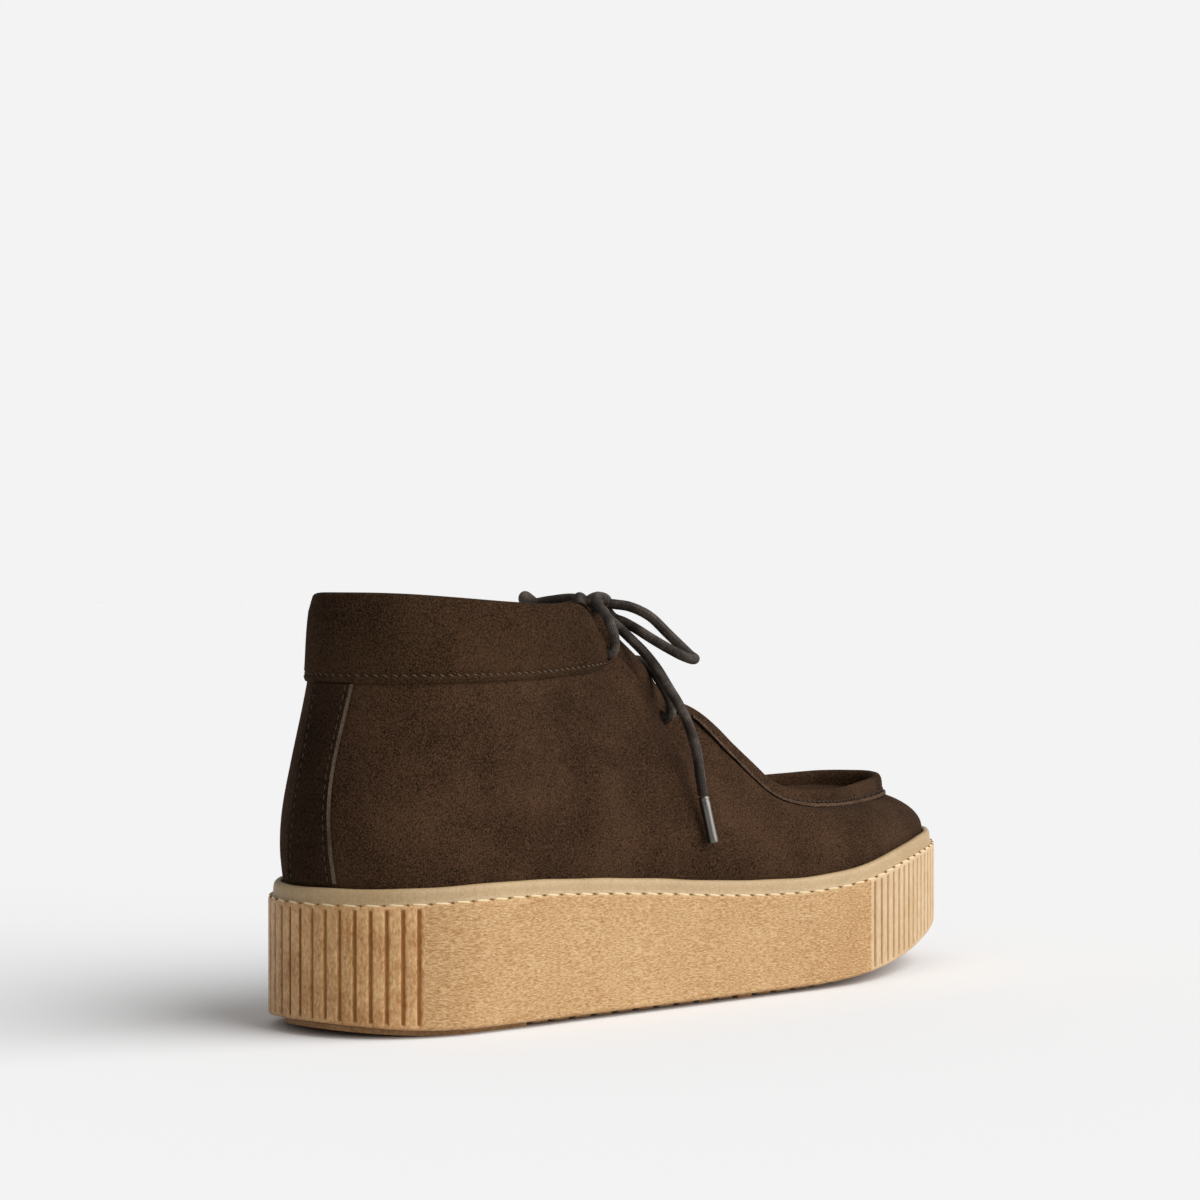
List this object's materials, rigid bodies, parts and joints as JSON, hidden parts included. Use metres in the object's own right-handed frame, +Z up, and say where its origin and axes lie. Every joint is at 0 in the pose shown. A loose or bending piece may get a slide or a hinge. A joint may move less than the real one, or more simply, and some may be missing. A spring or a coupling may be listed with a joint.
{
  "type": "leather chukka boot",
  "caption": "Right suede chukka boot with a moccasin toe, padded collar cuff and a lace tied in a bow, on a thick ribbed crepe sole.",
  "frame": {"origin": "on the floor under the middle of the heel, on the outsole's flat rest", "axes": "+X to the toe, +Y to the inner (medial) side, +Z up"},
  "size_m": [0.3, 0.0994, 0.1319],
  "materials": {
    "outsole": "matt",
    "crepe": "crinkled matt",
    "band": "smooth matt",
    "suede": "napped",
    "lining": "matt",
    "lace": "waxed round cord",
    "tip": "worn metal",
    "thread": "twisted thread"
  },
  "bodies": {
    "root": {"outsole": "outsole", "midsole": "crepe", "welt_band": "band", "insole": "lining", "upper": "suede", "collar_cuff": "suede", "back_strip": "suede", "tongue": "suede", "apron": "suede", "lace_bar": "lace", "lace_leg_outer": "lace", "lace_leg_inner": "lace", "lace_knot": "lace", "lace_loop_outer": "lace", "lace_loop_inner": "lace", "lace_end_outer": "lace", "lace_end_inner": "lace", "aglet_outer": "tip", "aglet_inner": "tip"}
  },
  "joints": []
}
